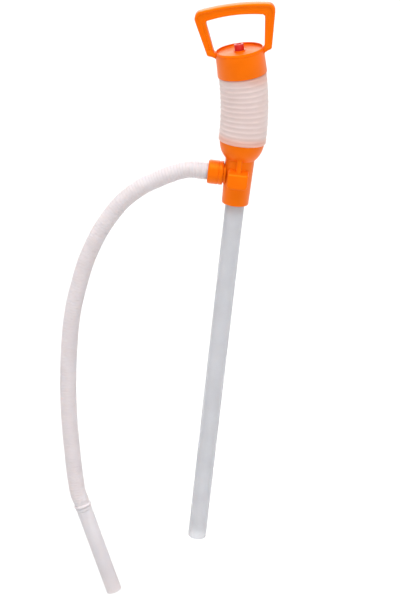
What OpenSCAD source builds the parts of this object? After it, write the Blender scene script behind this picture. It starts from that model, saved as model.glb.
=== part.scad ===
// Hand siphon pump: squeeze bellows with a handle cap, a valve barrel that hangs
// on a container's lip, a straight suction pipe and a ribbed outlet hose.
// Millimetres. The barrel's axis is Z, and Z = 0 is the seat of the lip hook.
// The outlet points to -X and the hook to -Y.

/* [Barrel] */
// Outer radius of the barrel where it leaves the cup
barrel_top_r = 17.2; // [15.5:0.1:19]
// Outer radius of the barrel at its lower end
barrel_low_r = 15.9; // [15.4:0.1:17]
// Depth of the barrel below the hook's seat
barrel_below = 39; // [36:1:60]
// Height of the cup's neck above the hook's seat
neck_z = 16; // [13:0.5:24]
// Radius of the bore that holds the inlet valve
barrel_bore_r = 13.6; // [12:0.1:13.8]
// Thickness of the barrel's floor
floor_t = 3; // [2:0.1:5]

/* [Cup] */
// Outer radius of the cup at its shoulder
cup_r = 26.2; // [25:0.1:28]
// Height of the cup from the neck to its shoulder
cup_h = 21; // [16:0.5:28]
// Height of the collar that the bellows is pushed over
collar_h = 7; // [6:0.5:7.5]
// Outer radius of that collar
collar_r = 24.3; // [23:0.1:24.6]
// Wall of the collar
collar_wall = 2; // [1.5:0.1:3]

/* [Lip hook] */
// Width of the hook's plate
hook_w = 24; // [18:0.1:30]
// Length of the plate below the seat
hook_drop = 15; // [10:0.5:25]
// Gap between the barrel and the plate
hook_gap = 6.6; // [5:0.1:10]
// Thickness of the plate
hook_t = 3.2; // [2:0.1:4]
// Height of the hook's outer shoulder above the seat
hook_top = 3; // [2.5:0.1:4]
// Width of the stiffening rib above the hook
rib_w = 5.8; // [4:0.1:8]

/* [Outlet branch] */
// Level of the branch's axis
branch_z = -4; // [-8:0.5:-3]
// Distance from the barrel's axis to the branch's shoulder
branch_face = 17.4; // [17.3:0.1:19]
// Outer radius of the branch's shoulder
branch_r = 12.2; // [12:0.1:13.5]
// Outer radius of the threaded stub
stub_r = 11.4; // [11:0.1:11.8]
// Length of the threaded stub
stub_len = 9.6; // [9:0.1:12]
// Radius of the valve chamber in the stub
chamber_r = 8.6; // [8.4:0.1:9]
// Radius of the port in the barrel's wall
port_r = 6.2; // [5.5:0.1:6.8]

/* [Hose nut] */
// Outer radius of the nut
nut_r = 14.2; // [13.8:0.1:16]
// Length of the nut
nut_len = 18.2; // [18:0.1:22]
// Wall at the nut's outer end
nut_end_t = 3.4; // [2.5:0.1:4.5]
// Width of the collar at the nut's inner end
nut_collar = 4.6; // [3:0.1:6]

/* [Suction pipe] */
// Outer radius of the pipe
pipe_r = 11.4; // [11:0.1:12.5]
// Wall of the pipe
pipe_wall = 1.5; // [1.2:0.1:2]
// Length of the pipe below the barrel
pipe_len = 453; // [250:1:600]
// Length of the nipple inside the pipe
nipple_len = 12; // [8:0.5:20]

/* [Bellows] */
// Outer radius over the ribs
bellows_r = 28.1; // [27.8:0.1:29]
// Wall of the bellows
bellows_wall = 1.2; // [0.8:0.1:1.4]
// Length of the plain cuff at the cup
cuff_h = 7.8; // [7.6:0.1:12]
// Pitch of the ribs
bellows_pitch = 6.1; // [5:0.1:7.5]
// Number of ribs
bellows_ribs = 12; // [8:1:16]
// Bend of the bellows
bellows_bend = 13.6; // [0:0.1:16]
// Way of the bend, turned from the outlet towards the hook
bellows_way = 14.6; // [0:0.1:30]

/* [Cap] */
// Outer radius of the cap's skirt at its lower edge
cap_low_r = 28.7; // [28.5:0.1:31]
// Outer radius of the cap at its rim
cap_top_r = 28; // [27.8:0.1:28.5]
// Height of the cap
cap_h = 29.8; // [28.5:0.1:36]
// Thickness of the cap's top
cap_t = 2.6; // [2:0.1:3.5]
// Wall of the skirt at the cap's rim
skirt_wall = 1.6; // [1.4:0.1:1.8]
// Height of the rim around the top
rim_h = 2.8; // [0.4:0.1:3]

/* [Handle] */
// Height of the handle above the cap's rim
handle_h = 52.3; // [45:0.1:65]
// Outer width between the handle's shoulders
shoulder_w = 92.5; // [86:0.5:110]
// Outer width between the handle's feet
foot_w = 75; // [72:0.5:82]
// Thickness of the top bar
bar_h = 11.7; // [10:0.1:15]
// Inner width at the top bar
grip_top_w = 67.5; // [64:0.5:76]
// Inner width at the cap's rim
grip_low_w = 58; // [57:0.5:62]
// Depth of the handle, front to back
handle_d = 12; // [8:0.5:16]
// Radius of the outer corners
corner_r = 9; // [5:0.5:10]

/* [Release button] */
// Radius of the button
button_r = 5.5; // [4.5:0.1:5.6]
// Height of the button above its boss
button_h = 7.1; // [4:0.1:9]
// Travel of the button
button_travel = 2.5; // [2:0.1:3]
// Radius of the button's stem
stem_r = 2; // [1.6:0.1:2.2]

/* [Outlet hose] */
// Outer radius over the hose's ribs
hose_r = 10.2; // [9.4:0.1:10.3]
// Depth of the hose's ribs
hose_rib = 0.8; // [0.4:0.1:0.9]
// Radius of the hose's bore
hose_bore_r = 8.1; // [7:0.1:8.2]
// Pitch of the hose's ribs
hose_pitch = 3.9; // [3.6:0.1:6]
// Outer radius of the smooth spout
spout_r = 9.8; // [9:0.1:10.2]
// Wall of the spout
spout_wall = 1.1; // [0.8:0.1:1.5]
// Length of the spout below the hose
spout_len = 121; // [60:1:160]

/* [Hidden] */
$fn = 96;

// Clearances
fit_gap = 0.1;   // parts that slide or turn in each other
seat_gap = 0.1;  // faces that rest on each other
soft_gap = 0.3;  // soft parts beside parts that move
cut = 1;         // how far a cut runs past a face
joint_in = 2;    // how far a joined shape runs into its neighbour

// Levels on the barrel's axis
shoulder_z = neck_z + cup_h;
collar_z = shoulder_z + collar_h;
cuff_z = shoulder_z + cuff_h;
floor_z = floor_t - barrel_below;
cup_drop = 28.5;  // how far below the shoulder the cup's ellipse would close
nipple_bore_r = 7.5;
nipple_r = pipe_r - pipe_wall - fit_gap;
seal_z = shoulder_z + collar_h / 2;
seal_r = 0.85;

// The bellows runs straight up its cuff and then along an arc to the cap
arc_len = bellows_pitch * bellows_ribs;
bend = max(bellows_bend, 0.01);
bend_r = arc_len * 180 / (PI * bend);
head_x = -bend_r * (1 - cos(bend));
head_z = cuff_z + bend_r * sin(bend);
bellows_sides = 22;
cuff_bore_r = (collar_r + seal_r + 0.05) / cos(180 / bellows_sides);
bellows_groove_r = cuff_bore_r + 0.85;
bead_r = bellows_r - 0.2;
bead_len = 5.4;
skirt_in_r = cap_top_r - skirt_wall;
neck_gap = 0.5;
neck_r = skirt_in_r - neck_gap;
neck_len = 20;
neck_wall = 1.8;

// Heights in the cap, counted from the lower edge of its skirt
plate_z = cap_h - rim_h;
rim_w = 1.4;
land_w = 3.6;
boss_r = button_r + 1.3;
boss_z = plate_z + 1.6;
well_r = button_r + 0.25;
well_depth = 7.7;
well_z = plate_z - well_depth;
guide_z = well_z - 5;
button_low = boss_z - button_travel - 0.2;
gland_t = 2;
clip_t = 1.4;
stem_end = 1.2;
vent_r = 0.9;
vent_at = stem_r + vent_r + 0.45;
dish_depth = 0.9;
spring_turns = 4;
spring_step_angle = 45;
spring_wire_r = 0.35;
spring_r = button_r - 1.2;
gasket_t = 1.5;
gasket_short = 0.7;
land_z = neck_len + soft_gap + gasket_t + seat_gap;

// Distances along the branch, counted from the barrel's axis towards -X
stub_end = branch_face + stub_len;
nut_from = branch_face + 0.4;
nut_to = nut_from + nut_len;
nut_bore_r = stub_r + fit_gap;
hose_hole_r = hose_r + 0.35;
washer_t = 1.5;
flange_t = 1.7;
washer_at = stub_end + seat_gap;
flange_at = washer_at + washer_t + seat_gap;
hose_gap = 0.6;
hose_at = flange_at + flange_t + hose_gap;
grip_at = flange_at + flange_t + seat_gap;
loose_r = nut_bore_r - soft_gap;
spigot_r = hose_bore_r - 0.2;
spigot_bore_r = spigot_r - 1.5;
spigot_len = 13;
seat_from = 15.1;
seat_t = 2;
seat_bore_r = 5;
flap_r = 6.8;
flap_t = 1.2;
flap_at = seat_from + seat_t + seat_gap;
hinge_in = 0.8;
hinge_up = flap_r + 0.1;
hinge_r = 0.6;
hinge_play = 0.08;
ear_in = 2.2;
ear_w = 1.3;
ear_half = 1;
ear_h = 1.8;
tab_play = 0.4;

// Inlet valve
inlet_t = 3;
inlet_bore_r = 6.5;
disc_r = 9.2;
disc_t = 1.6;
disc_lift = 2.2;
disc_boss = 1.6;
cage_in_r = disc_r + 1;
cage_bar = 3;
cage_top_t = 1.5;
insert_r = barrel_bore_r - fit_gap;
disc_z = floor_z + inlet_t + seat_gap;
cage_z = floor_z + inlet_t;
cage_h = seat_gap + disc_t + disc_lift + fit_gap + cage_top_t;

// The hose's route, from its end in the nut to the top of the spout
hose_from = [-hose_at, 0, branch_z];
hose_route = [for (p = [
    [0, 0, 0], [-13, 0, 0], [-26, 0, 0], [-39, 0, -4], [-52, -1, -10],
    [-66, -1, -18], [-79, -2, -26], [-92, -3, -37], [-104, -4, -50],
    [-115, -5, -67], [-125, -6, -86], [-133, -7, -106], [-140, -9, -129],
    [-145, -10, -154], [-149, -12, -180], [-151, -14, -207], [-151, -16, -235],
    [-150, -18, -263], [-148, -20, -291], [-145, -22, -319], [-141, -24, -347],
    [-136, -26, -375], [-131, -28, -402], [-125, -30, -428], [-120.5, -31, -438],
    [-116, -32, -448]
]) hose_from + p];
hose_sides = 8;
hose_end_ring = 0.7;
hose_steps = 12;
route_last = len(hose_route) - 1;
spout_from = hose_route[route_last];
spout_way = spout_from - hose_route[route_last - 1];
spout_neck = 12;
spout_neck_r = hose_bore_r - 0.2;
spout_neck_wall = 1.1;
spout_step = 2;

function unit(v) = v / norm(v);
function arc(c, r, a0, a1, n) =
    [for (i = [0:n]) c + r * [cos(a0 + (a1 - a0) * i / n), sin(a0 + (a1 - a0) * i / n)]];
function mirrored(p) = [for (i = [len(p) - 1:-1:0]) [-p[i][0], p[i][1]]];

// A smooth curve through the route's points; its end points are run on in a straight line
function route_point(i) =
    i < 0 ? 2 * hose_route[0] - hose_route[1]
    : i > route_last ? 2 * hose_route[route_last] - hose_route[route_last - 1]
    : hose_route[i];
function curve(t) =
    let (i = min(floor(t), route_last - 1), u = t - i,
         a = route_point(i - 1), b = route_point(i),
         c = route_point(i + 1), d = route_point(i + 2))
    0.5 * (2 * b + (c - a) * u + (2 * a - 5 * b + 4 * c - d) * u * u
           + (3 * b - a - 3 * c + d) * u * u * u);
function curve_way(t) =
    unit(curve(min(t + 0.01, route_last)) - curve(max(t - 0.01, 0)));
function running(steps, i, sum) =
    i > steps ? []
    : let (here = sum + (i == 0 ? 0
                         : norm(curve(i / hose_steps) - curve((i - 1) / hose_steps))))
      concat([[here, i / hose_steps]], running(steps, i + 1, here));
hose_table = running(route_last * hose_steps, 0, 0);
hose_len = hose_table[len(hose_table) - 1][0];
echo(hose_length = hose_len, with_spout = hose_len + spout_len);

// One ring of points round a centre, square to the way that the tube runs
function ring_at(c, way, r, n) =
    let (u = unit(cross([0, 1, 0], way)), v = cross(way, u))
    [for (k = [0:n - 1]) c + r * (cos(360 * k / n) * u + sin(360 * k / n) * v)];
function hose_ring(s, r) =
    let (t = lookup(s, hose_table)) ring_at(curve(t), curve_way(t), r, hose_sides);
function bellows_ring(s, r) =
    let (a = s <= 0 ? 0 : min(s / arc_len, 1) * bend,
         run = s <= 0 ? s : s > arc_len ? s - arc_len : 0,
         off = bend_r * (1 - cos(a)),
         side = [-cos(bellows_way), -sin(bellows_way), 0],
         base = off * side + [0, 0, cuff_z + bend_r * sin(a)],
         way = sin(a) * side + [0, 0, cos(a)])
    ring_at(base + run * way, way, r, bellows_sides);

// A closed wall through rings of points; with loop the last ring joins the first
module swept(rings, loop) {
    n = len(rings[0]);
    m = len(rings);
    last = loop ? m - 1 : m - 2;
    sides = [for (i = [0:last], k = [0:n - 1])
             let (j = (i + 1) % m, l = (k + 1) % n)
             each [[i * n + k, j * n + k, i * n + l], [i * n + l, j * n + k, j * n + l]]];
    ends = loop ? [] : [
        [for (k = [0:n - 1]) k],
        [for (k = [n - 1:-1:0]) (m - 1) * n + k]
    ];
    polyhedron(points = [for (r = rings) each r], faces = concat(sides, ends), convexity = 10);
}

module in_head() {
    rotate(bellows_way) translate([head_x, 0, head_z]) rotate([0, -bend, 0])
        rotate(-bellows_way) children();
}

module on_branch(at) {
    translate([-at, 0, branch_z]) rotate([0, -90, 0]) children();
}

module tube(r, bore, h) {
    difference() {
        cylinder(r = r, h = h);
        translate([0, 0, -cut]) cylinder(r = bore, h = h + 2 * cut);
    }
}

function barrel_at(z) =
    barrel_low_r + (barrel_top_r - barrel_low_r) * (z + barrel_below) / (neck_z + barrel_below);
function cup_at(z) = cup_r * sqrt(1 - pow((shoulder_z - z) / cup_drop, 2));
cup_neck_r = cup_at(neck_z);
collar_bore_r = collar_r - collar_wall;
bowl_drop = cup_drop - 1.5;
bowl_low_z = shoulder_z - bowl_drop * sqrt(1 - pow(barrel_bore_r / collar_bore_r, 2));
bowl_steps = 12;
hook_in = barrel_at(0) + hook_gap;
hook_out = hook_in + hook_t;

module body_outside() {
    rotate_extrude() polygon(concat(
        [[0, -barrel_below - nipple_len], [nipple_r, -barrel_below - nipple_len],
         [nipple_r, -barrel_below], [barrel_low_r, -barrel_below], [barrel_top_r, neck_z]],
        [for (i = [1:bowl_steps])
            let (z = neck_z + cup_h * i / bowl_steps)
            [cup_at(z) + (barrel_top_r - cup_neck_r) * (1 - i / bowl_steps), z]],
        [[collar_r, shoulder_z], [collar_r, collar_z], [0, collar_z]]));
}

module body_inside() {
    rotate_extrude() polygon(concat(
        [[0, -barrel_below - nipple_len - cut],
         [nipple_bore_r, -barrel_below - nipple_len - cut],
         [nipple_bore_r, floor_z], [barrel_bore_r, floor_z], [barrel_bore_r, bowl_low_z]],
        [for (i = [1:bowl_steps])
            let (z = bowl_low_z + (shoulder_z - bowl_low_z) * i / bowl_steps)
            [collar_bore_r * sqrt(1 - pow((shoulder_z - z) / bowl_drop, 2)), z]],
        [[collar_bore_r, collar_z + cut], [0, collar_z + cut]]));
}

// The hook and its rib are drawn in the plane that points out of the barrel's front
module hook() {
    root = barrel_bore_r + 1;
    rise = 3.7;
    fillet = 2.5;
    translate([-hook_w / 2, 0, 0]) rotate([90, 0, 90]) linear_extrude(hook_w) polygon(concat(
        [[-root, 0], [-hook_in, 0], [-hook_in, -hook_drop], [-hook_out + 0.8, -hook_drop],
         [-hook_out, 0.8 - hook_drop]],
        arc([-hook_out + fillet, hook_top - fillet], fillet, 180, 105, 6),
        [[-root, hook_top + rise]]));
    translate([-rib_w / 2, 0, 0]) rotate([90, 0, 90]) linear_extrude(rib_w) polygon([
        [-root, hook_top], [1.2 - hook_in, hook_top], [-barrel_top_r - 2, neck_z - 2],
        [-barrel_top_r - 3.5, neck_z + 4], [-root - 2, neck_z + 4]]);
}

module pump_body() color("darkorange") {
    difference() {
        union() {
            body_outside();
            on_branch(barrel_bore_r - joint_in)
                cylinder(r = branch_r, h = branch_face - barrel_bore_r + joint_in);
            on_branch(branch_face - joint_in) cylinder(r = stub_r, h = stub_len + joint_in);
            hook();
        }
        body_inside();
        on_branch(0) cylinder(r = port_r, h = stub_end);
        on_branch(seat_from) cylinder(r = chamber_r, h = stub_end);
        seal_ring(seal_r + fit_gap);
    }
}

module seal_ring(r) {
    translate([0, 0, seal_z]) rotate_extrude() translate([collar_r, 0]) circle(r = r, $fn = 32);
}

module bellows_seal() color("dimgray") {
    seal_ring(seal_r);
}

module bellows() color("mistyrose") {
    outside = concat(
        [[-cuff_h, bead_r - 0.6], [0.8 - cuff_h, bead_r], [bead_len - 0.8 - cuff_h, bead_r],
         [bead_len - cuff_h, bellows_groove_r + 0.6]],
        [for (i = [0:bellows_ribs - 1]) each [
            [i * bellows_pitch, bellows_groove_r],
            [(i + 0.3) * bellows_pitch, bellows_r],
            [(i + 0.7) * bellows_pitch, bellows_r]]],
        [[arc_len, neck_r], [arc_len + neck_len, neck_r]]);
    inside = concat(
        [[arc_len + neck_len, neck_r - neck_wall], [arc_len, neck_r - neck_wall]],
        [for (i = [bellows_ribs - 1:-1:0]) each [
            [(i + 0.7) * bellows_pitch, bellows_r - bellows_wall],
            [(i + 0.3) * bellows_pitch, bellows_r - bellows_wall],
            [i * bellows_pitch, bellows_groove_r - bellows_wall]]],
        [[-0.5, cuff_bore_r], [-cuff_h, cuff_bore_r]]);
    lift = [0, 0, seat_gap];
    swept([for (p = concat(outside, inside))
           [for (q = bellows_ring(p[0], p[1])) q + (p[0] == -cuff_h ? lift : [0, 0, 0])]], true);
}

// The handle's outline, counted from the middle of the cap's rim
module handle_outline(inset) {
    foot_z = -3;
    foot_run = 7;
    level = handle_h - corner_r - 2.8;
    slope = (shoulder_w - foot_w) / 2 / (level - foot_z);
    r_out = corner_r - inset;
    lean = atan(slope);
    cu = shoulder_w / 2 - corner_r / cos(lean);
    drop = handle_h - level;
    big = (cu * cu + drop * drop - corner_r * corner_r) / (2 * (drop - corner_r));
    turn = atan2(level - handle_h + big, cu);
    inner_r = 3 + inset;
    under = handle_h - bar_h - inset;
    in_level = under - inner_r - 2.8;
    in_slope = (grip_top_w - grip_low_w) / 2 / in_level;
    in_lean = atan(in_slope);
    iu = grip_top_w / 2 + inset - inner_r / cos(in_lean);
    in_drop = under - in_level;
    in_big = (iu * iu + in_drop * in_drop - inner_r * inner_r) / (2 * (in_drop - inner_r));
    in_turn = atan2(in_level - under + in_big, iu);
    low = grip_low_w / 2 + inset;
    outer_half = concat(
        [[cap_top_r - 0.8, foot_z - foot_run], [foot_w / 2 - inset - 1.5, foot_z + inset - 0.6],
         [foot_w / 2 - inset, foot_z + inset + 1]],
        arc([cu, level], r_out, -lean, turn, 8),
        arc([0, handle_h - big], big - inset, turn + (90 - turn) / 5, 90, 4));
    inner_half = concat(
        [[cap_top_r - 0.8, -1], [low, 1]],
        arc([iu, in_level], inner_r, -in_lean, in_turn, 4),
        arc([0, under - in_big], in_big, in_turn + (90 - in_turn) / 5, 90, 4));
    outer = concat(outer_half, mirrored([for (i = [0:len(outer_half) - 2]) outer_half[i]]));
    inner = concat(inner_half, mirrored([for (i = [0:len(inner_half) - 2]) inner_half[i]]));
    polygon(concat(outer, [for (i = [len(inner) - 1:-1:0]) inner[i]]));
}

module handle() {
    edge = 1.2;
    translate([0, 0, cap_h]) rotate([90, 0, 0]) {
        translate([0, 0, edge - handle_d / 2]) linear_extrude(handle_d - 2 * edge) handle_outline(0);
        translate([0, 0, -handle_d / 2]) linear_extrude(handle_d) handle_outline(edge);
    }
}

module cap_handle() color("darkorange") in_head() difference() {
    union() {
        difference() {
            union() {
                rotate_extrude() polygon([
                    [0, 0], [cap_low_r, 0], [cap_top_r, cap_h - 1.2], [cap_top_r - 0.6, cap_h],
                    [cap_top_r - rim_w, cap_h], [cap_top_r - rim_w - 0.2, plate_z], [0, plate_z]]);
                handle();
            }
            translate([0, 0, -cut]) cylinder(r = skirt_in_r - land_w, h = plate_z - cap_t + cut);
            translate([0, 0, -cut]) cylinder(r = skirt_in_r, h = land_z + cut);
        }
        translate([0, 0, guide_z]) cylinder(r = boss_r, h = boss_z - guide_z);
    }
    translate([0, 0, guide_z - cut]) cylinder(r = stem_r + fit_gap, h = cap_h);
    for (a = [0:120:240]) rotate(a)
        translate([vent_at, 0, guide_z - cut]) cylinder(r = vent_r, h = cap_h);
    translate([0, 0, well_z]) cylinder(r = well_r, h = cap_h);
}

module cap_gasket() color("dimgray") in_head() {
    translate([0, 0, neck_len + soft_gap])
        tube(skirt_in_r - soft_gap, skirt_in_r - land_w + gasket_short, gasket_t);
}

module release_button() color("red") in_head() {
    top_z = boss_z + button_h;
    stem_low = guide_z - seat_gap - gland_t - clip_t - stem_end;
    difference() {
        union() {
            rotate_extrude() polygon([
                [0, button_low], [button_r, button_low], [button_r, top_z - 0.7],
                [button_r - 0.7, top_z], [0, top_z]]);
            translate([0, 0, stem_low]) cylinder(r = stem_r, h = button_low - stem_low + 1);
        }
        translate([0, 0, top_z - dish_depth]) cylinder(r = button_r * 0.45, h = dish_depth + cut);
    }
}

spring_low = well_z + spring_wire_r + 0.1;
spring_high = button_low - spring_wire_r - 0.1;
spring_step = (spring_high - spring_low) / spring_turns;
function spring_point(a) =
    [spring_r * cos(a), spring_r * sin(a), spring_low + spring_step * a / 360];
echo(spring_gap = min([for (a = [0:30:360 * (spring_turns - 1)], b = [-30:10:30])
    norm(spring_point(a + 360 + b) - spring_point(a))]) - 2 * spring_wire_r);

module release_spring() color("silver") in_head() {
    swept([for (a = [0:spring_step_angle:360 * spring_turns])
        let (way = unit([-sin(a), cos(a), spring_step / (2 * PI * spring_r)]),
             u = [cos(a), sin(a), 0], v = cross(way, u))
        [for (k = [0:5]) spring_point(a)
            + spring_wire_r * (cos(60 * k) * u + sin(60 * k) * v)]], false);
}

module release_seal() color("dimgray") in_head() {
    translate([0, 0, guide_z - seat_gap - gland_t]) tube(boss_r - 1.2, stem_r + 0.02, gland_t);
}

module stem_clip() color("silver") in_head() {
    translate([0, 0, guide_z - 2 * seat_gap - gland_t - clip_t])
        tube(boss_r - 2.4, stem_r + 0.02, clip_t);
}

module inlet_seat() color("white") {
    translate([0, 0, floor_z]) tube(insert_r, inlet_bore_r, inlet_t);
}

module inlet_disc() color("dimgray") {
    translate([0, 0, disc_z]) cylinder(r = disc_r, h = disc_t);
    translate([0, 0, disc_z - disc_boss]) cylinder(r = inlet_bore_r - 1, h = disc_boss + disc_t / 2);
}

module inlet_cage() color("white") {
    translate([0, 0, cage_z]) {
        tube(insert_r, cage_in_r, cage_h);
        intersection() {
            cylinder(r = insert_r - 0.5, h = cage_h);
            for (a = [0, 90]) rotate(a)
                translate([-insert_r, -cage_bar / 2, cage_h - cage_top_t])
                    cube([2 * insert_r, cage_bar, cage_top_t]);
        }
    }
}

// The ears that carry the flap's pin: along the branch, X points up and Z points out
module ears(play, h) {
    for (side = [-1, 1])
        translate([hinge_up, side * (ear_in + ear_w / 2), h / 2])
            cube([2 * (ear_half + play), ear_w + 2 * play, h], center = true);
}

module outlet_seat() color("white") {
    on_branch(seat_from) difference() {
        intersection() {
            cylinder(r = chamber_r - fit_gap, h = 2 * seat_t + cut);
            union() {
                cylinder(r = chamber_r, h = seat_t);
                ears(0, seat_t + ear_h);
            }
        }
        translate([0, 0, -cut]) cylinder(r = seat_bore_r, h = 3 * seat_t);
        translate([hinge_up, 0, seat_t + seat_gap + hinge_in]) rotate([90, 0, 0])
            cylinder(r = hinge_r + hinge_play, h = 4 * ear_in, center = true, $fn = 32);
    }
}

module outlet_flap() color("dimgray") {
    on_branch(flap_at) {
        difference() {
            cylinder(r = flap_r, h = flap_t);
            translate([0, 0, -cut]) ears(0.5, flap_t + 2 * cut);
        }
        translate([flap_r - 3, tab_play - ear_in, 0])
            cube([hinge_up - flap_r + 3, 2 * (ear_in - tab_play), flap_t]);
        translate([hinge_up, 0, hinge_in]) rotate([90, 0, 0])
            cylinder(r = hinge_r, h = 2 * (ear_in + ear_w), center = true, $fn = 32);
    }
}

module hose_nut() color("darkorange") {
    rings = [[nut_bore_r, 0], [nut_r - 0.8, 0], [nut_r, 0.8], [nut_r, nut_collar - 0.5],
             [nut_r - 0.5, nut_collar], [nut_r - 0.5, nut_collar + 0.6],
             [nut_r, nut_collar + 1.1], [nut_r, nut_len - 2], [nut_r - 2, nut_len],
             [hose_hole_r, nut_len], [hose_hole_r, nut_len - nut_end_t],
             [nut_bore_r, nut_len - nut_end_t]];
    on_branch(nut_from) rotate_extrude() polygon(rings);
}

module hose_washer() color("dimgray") {
    on_branch(washer_at) tube(loose_r, chamber_r - 0.4, washer_t);
}

module hose_spigot() color("white") {
    on_branch(flange_at) {
        tube(loose_r, spigot_bore_r, flange_t);
        tube(spigot_r, spigot_bore_r, flange_t + spigot_len);
    }
}

module hose_grip_ring() color("white") {
    on_branch(grip_at) tube(loose_r, hose_r + 0.05, nut_to - nut_end_t - 2 * seat_gap - grip_at);
}

module outlet_hose() color("mistyrose") {
    plain = nut_to - hose_at + 1;
    cuff = 7;
    end = hose_len - 0.1;
    groove_r = hose_r - hose_rib;
    ribs = floor((hose_len - plain - cuff) / hose_pitch);
    flat_r = hose_bore_r / cos(180 / hose_sides);
    bore_steps = 26;
    outside = concat(
        [[0, groove_r]],
        [for (i = [0:ribs - 1]) each [
            [plain + i * hose_pitch, groove_r], [plain + (i + 0.5) * hose_pitch, hose_r]]],
        [[end - 6, groove_r], [end - 4, groove_r], [end - 3.5, hose_r + hose_end_ring],
         [end - 1, hose_r + hose_end_ring], [end, groove_r]]);
    inside = concat(
        [[end, flat_r]],
        [for (i = [bore_steps:-1:0])
            [spigot_len + (end - spout_neck - spigot_len) * i / bore_steps, flat_r]],
        [[0, flat_r]]);
    swept([for (p = concat(outside, inside)) hose_ring(p[0], p[1])], true);
}

module outlet_spout() color("mistyrose") {
    across = atan2(spout_way[1], spout_way[0]);
    down = acos(unit(spout_way)[2]);
    translate(spout_from) rotate([0, down, across]) difference() {
        union() {
            translate([0, 0, -spout_neck]) cylinder(r = spout_neck_r, h = spout_neck + spout_step);
            cylinder(r = spout_r, h = spout_len);
        }
        translate([0, 0, spout_step]) cylinder(r = spout_r - spout_wall, h = spout_len);
        translate([0, 0, -spout_neck - cut])
            cylinder(r = spout_neck_r - spout_neck_wall, h = spout_len);
    }
}

module suction_pipe() color("whitesmoke") {
    translate([0, 0, -barrel_below - pipe_len])
        tube(pipe_r, pipe_r - pipe_wall, pipe_len - seat_gap);
}

pump_body();
bellows();
bellows_seal();
cap_handle();
cap_gasket();
release_button();
release_spring();
release_seal();
stem_clip();
inlet_seat();
inlet_disc();
inlet_cage();
outlet_seat();
outlet_flap();
hose_nut();
hose_washer();
hose_spigot();
hose_grip_ring();
outlet_hose();
outlet_spout();
suction_pipe();
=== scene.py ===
import bpy
import math
from mathutils import Matrix, Vector


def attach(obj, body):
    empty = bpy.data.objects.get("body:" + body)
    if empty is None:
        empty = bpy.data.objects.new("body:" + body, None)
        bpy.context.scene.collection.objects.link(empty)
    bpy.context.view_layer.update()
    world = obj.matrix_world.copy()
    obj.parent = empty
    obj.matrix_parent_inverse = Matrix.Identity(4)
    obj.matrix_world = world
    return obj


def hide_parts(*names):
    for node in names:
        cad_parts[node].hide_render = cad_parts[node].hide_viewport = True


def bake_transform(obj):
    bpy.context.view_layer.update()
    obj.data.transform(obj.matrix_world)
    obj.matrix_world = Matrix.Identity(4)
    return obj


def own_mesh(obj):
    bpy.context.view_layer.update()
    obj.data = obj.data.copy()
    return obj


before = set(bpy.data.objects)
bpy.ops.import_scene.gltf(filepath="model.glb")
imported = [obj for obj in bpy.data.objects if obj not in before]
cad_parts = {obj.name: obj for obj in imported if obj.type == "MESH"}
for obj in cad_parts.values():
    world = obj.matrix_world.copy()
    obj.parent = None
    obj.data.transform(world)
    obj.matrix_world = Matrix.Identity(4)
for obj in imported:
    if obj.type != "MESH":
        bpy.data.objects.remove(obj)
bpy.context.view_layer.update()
scene = bpy.context.scene
mm = 0.001  # every size below is in millimetres
mergeWithin = 0.002  # points closer than this become one


def report(stage):
    print("siphon pump:", stage)


def deselectAll():
    if bpy.context.object and bpy.context.object.mode != "OBJECT":
        bpy.ops.object.mode_set(mode="OBJECT")
    bpy.ops.object.select_all(action="DESELECT")


def makeActive(piece):
    deselectAll()
    piece.select_set(True)
    bpy.context.view_layer.objects.active = piece


def drawLine(name, points):
    # a plane merged to one vertex, then drawn out vertex by vertex
    deselectAll()
    bpy.ops.mesh.primitive_plane_add(size=2 * mm, location=(0, 0, 0))
    piece = bpy.context.object
    piece.name = piece.data.name = name
    bpy.ops.object.mode_set(mode="EDIT")
    bpy.ops.mesh.select_all(action="SELECT")
    bpy.ops.mesh.merge(type="CENTER")
    bpy.ops.transform.translate(value=Vector(points[0]) * mm)
    for here, there in zip(points, points[1:]):
        step = (Vector(there) - Vector(here)) * mm
        bpy.ops.mesh.extrude_vertices_move(TRANSFORM_OT_translate={"value": step})
    return piece


def mergePoints():
    bpy.ops.mesh.select_all(action="SELECT")
    bpy.ops.mesh.remove_doubles(threshold=mergeWithin * mm)


def pointOutwards():
    bpy.ops.mesh.select_all(action="SELECT")
    bpy.ops.mesh.normals_make_consistent(inside=False)
    bpy.ops.object.mode_set(mode="OBJECT")


def turned(name, profile, steps=96):
    # profile is (radius, height) round Z; a closed wall repeats its first point
    piece = drawLine(name, [(r, 0, z) for r, z in profile])
    bpy.ops.mesh.select_all(action="SELECT")
    bpy.ops.mesh.spin(steps=steps, angle=2 * math.pi, center=(0, 0, 0), axis=(0, 0, 1))
    mergePoints()
    pointOutwards()
    return piece


def extruded(name, outline, depth):
    # outline is (x, z), pulled out evenly to both sides of Y = 0
    piece = drawLine(name, [(x, -depth / 2, z) for x, z in outline + outline[:1]])
    mergePoints()
    bpy.ops.mesh.edge_face_add()
    bpy.ops.mesh.extrude_region_move(TRANSFORM_OT_translate={"value": (0, depth * mm, 0)})
    mergePoints()
    pointOutwards()
    return piece


def roundEdges(piece, width, segments=3, angle=40):
    makeActive(piece)
    bpy.ops.object.modifier_add(type="BEVEL")
    bevel = piece.modifiers[-1]
    bevel.width = width * mm
    bevel.segments = segments
    bevel.limit_method = "ANGLE"
    bevel.angle_limit = math.radians(angle)
    bevel.use_clamp_overlap = True
    bpy.ops.object.modifier_apply(modifier=bevel.name)


def combine(piece, tool, operation):
    makeActive(piece)
    bpy.ops.object.modifier_add(type="BOOLEAN")
    boolean = piece.modifiers[-1]
    boolean.operation = operation
    boolean.solver = "EXACT"
    boolean.object = tool
    bpy.ops.object.modifier_apply(modifier=boolean.name)
    bpy.data.objects.remove(tool, do_unlink=True)


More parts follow.
